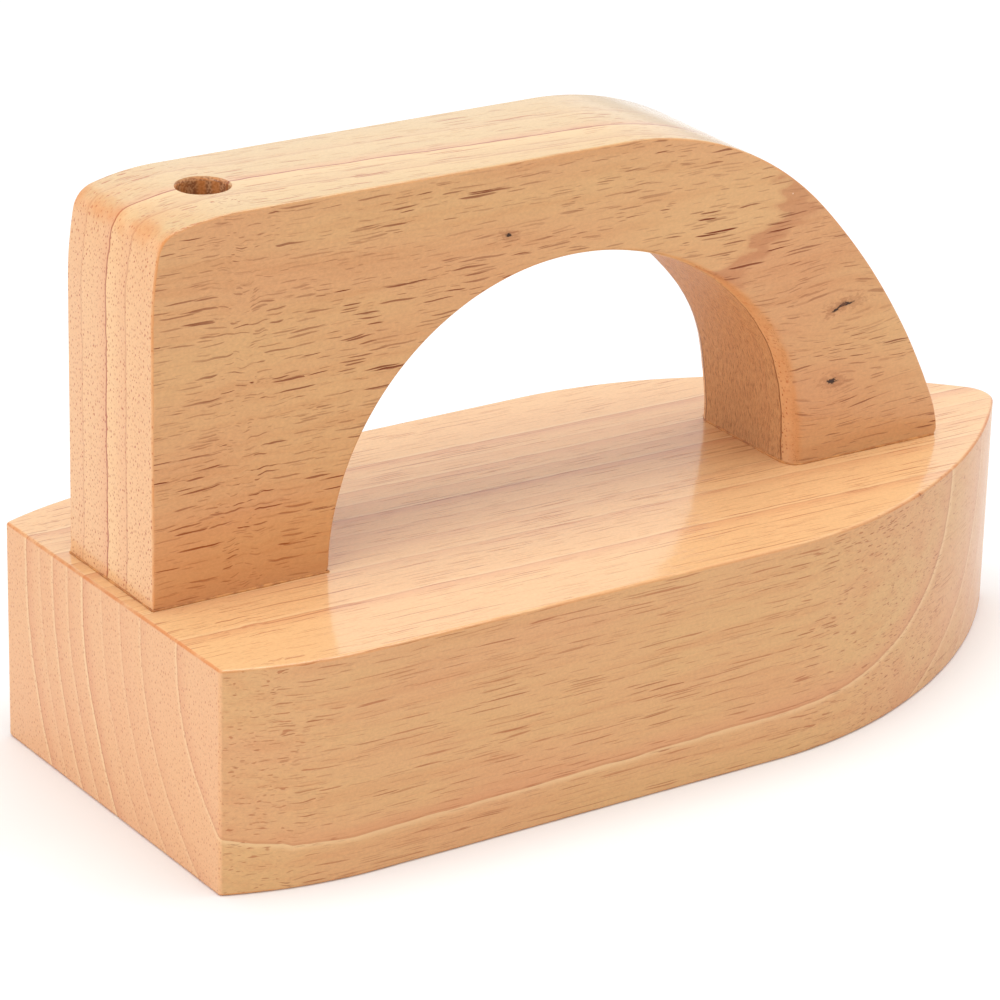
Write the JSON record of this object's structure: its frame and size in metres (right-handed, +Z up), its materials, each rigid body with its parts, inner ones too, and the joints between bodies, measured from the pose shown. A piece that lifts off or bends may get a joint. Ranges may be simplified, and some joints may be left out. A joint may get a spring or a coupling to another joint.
{
  "type": "toy iron",
  "caption": "Child's wooden play iron: a boat-shaped hardwood sole block with an arched board handle glued on top and a cord hole in its rear end.",
  "frame": {"origin": "centre of the bounding box's bottom face, on the flat underside of the sole block", "axes": "+X forward to the nose, +Y to the left, +Z up from the underside"},
  "size_m": [0.15, 0.0666, 0.0859],
  "materials": {
    "block_wood": "clear gloss lacquer over pale rubberwood",
    "handle_wood": "clear satin lacquer over pale rubberwood",
    "dowel_wood": "raw turned and fluted hardwood, glued in"
  },
  "bodies": {
    "root": {"sole_block": "block_wood", "arch_handle": "handle_wood", "dowel_rear_outer": "dowel_wood", "dowel_rear_inner": "dowel_wood", "dowel_front_inner": "dowel_wood", "dowel_front_outer": "dowel_wood"}
  },
  "joints": []
}
